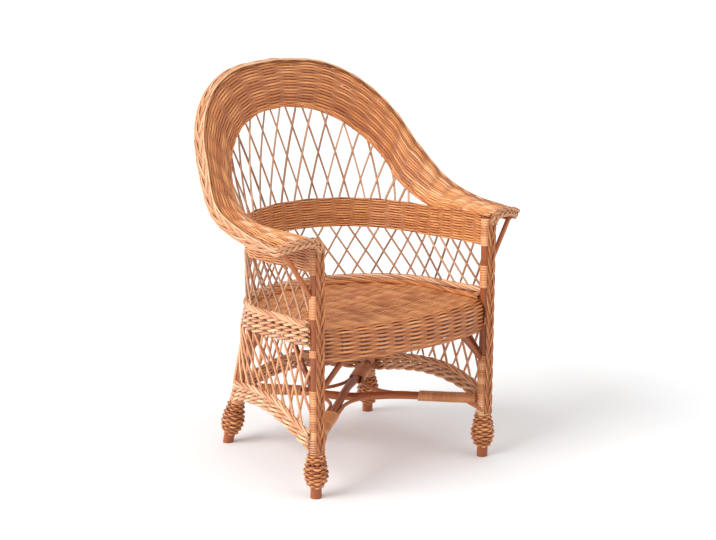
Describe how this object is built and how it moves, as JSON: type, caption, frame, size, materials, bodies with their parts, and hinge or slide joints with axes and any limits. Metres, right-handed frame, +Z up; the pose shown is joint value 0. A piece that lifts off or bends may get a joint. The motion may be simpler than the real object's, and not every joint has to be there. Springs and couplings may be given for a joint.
{
  "type": "wicker armchair",
  "caption": "Wicker armchair with a hooped back flowing into flat arms, diamond lattice panels, a woven seat with a deep front apron, crossed stretchers and pear-shaped woven feet.",
  "frame": {"origin": "centre of the chair's footprint box, on the floor", "axes": "+Z up, -Y the way the sitter faces, +X to the right seen from the front"},
  "size_m": [0.7158, 0.6254, 0.9619],
  "materials": {
    "frame_rods": "peeled and boiled willow rods, dark red-brown, clear satin lacquer",
    "woven_willow": "woven buff willow, orange-brown, satin",
    "pale_willow": "stout pale buff willow, twined and plaited, satin",
    "cane_binding": "flat split cane wound round the rods, satin",
    "lattice_rods": "thin round willow rods, satin"
  },
  "bodies": {
    "root": {"leg_front_left": "frame_rods", "leg_front_right": "frame_rods", "leg_back_left": "frame_rods", "leg_back_right": "frame_rods", "seat_rail_front": "frame_rods", "seat_rail_back": "frame_rods", "seat_rail_left": "frame_rods", "seat_rail_right": "frame_rods", "seat_bar_left": "frame_rods", "seat_bar_right": "frame_rods", "cross_stretcher_upper": "frame_rods", "cross_stretcher_lower": "frame_rods", "stretcher_bow_front": "frame_rods", "stretcher_bow_back": "frame_rods", "stretcher_bow_left": "frame_rods", "stretcher_bow_right": "frame_rods", "knee_brace_front_left_front": "frame_rods", "knee_brace_front_left_left": "frame_rods", "knee_brace_front_right_front": "frame_rods", "knee_brace_front_right_right": "frame_rods", "knee_brace_back_left_back": "frame_rods", "knee_brace_back_left_left": "frame_rods", "knee_brace_back_right_back": "frame_rods", "knee_brace_back_right_right": "frame_rods", "arm_brace_left": "frame_rods", "arm_brace_right": "frame_rods", "hoop_rod": "frame_rods", "rim_weave": "woven_willow", "mid_band": "woven_willow", "seat_weave": "woven_willow", "foot_sock_front_left": "woven_willow", "foot_sock_front_right": "woven_willow", "foot_sock_back_left": "woven_willow", "foot_sock_back_right": "woven_willow", "post_plait_left": "woven_willow", "post_plait_right": "woven_willow", "rim_border_plait": "pale_willow", "waist_band": "pale_willow", "arch_band_left": "pale_willow", "arch_band_right": "pale_willow", "arch_band_back": "pale_willow", "post_binding_left_lower": "cane_binding", "post_binding_left_middle": "cane_binding", "post_binding_left_upper": "cane_binding", "post_binding_right_lower": "cane_binding", "post_binding_right_middle": "cane_binding", "post_binding_right_upper": "cane_binding", "stretcher_wrap_front_left": "cane_binding", "stretcher_wrap_front_right": "cane_binding", "stretcher_wrap_back_left": "cane_binding", "stretcher_wrap_back_right": "cane_binding", "lower_lattice": "lattice_rods", "upper_lattice": "lattice_rods", "skirt_lattice_left": "lattice_rods", "skirt_lattice_right": "lattice_rods", "skirt_lattice_back": "lattice_rods"}
  },
  "joints": []
}
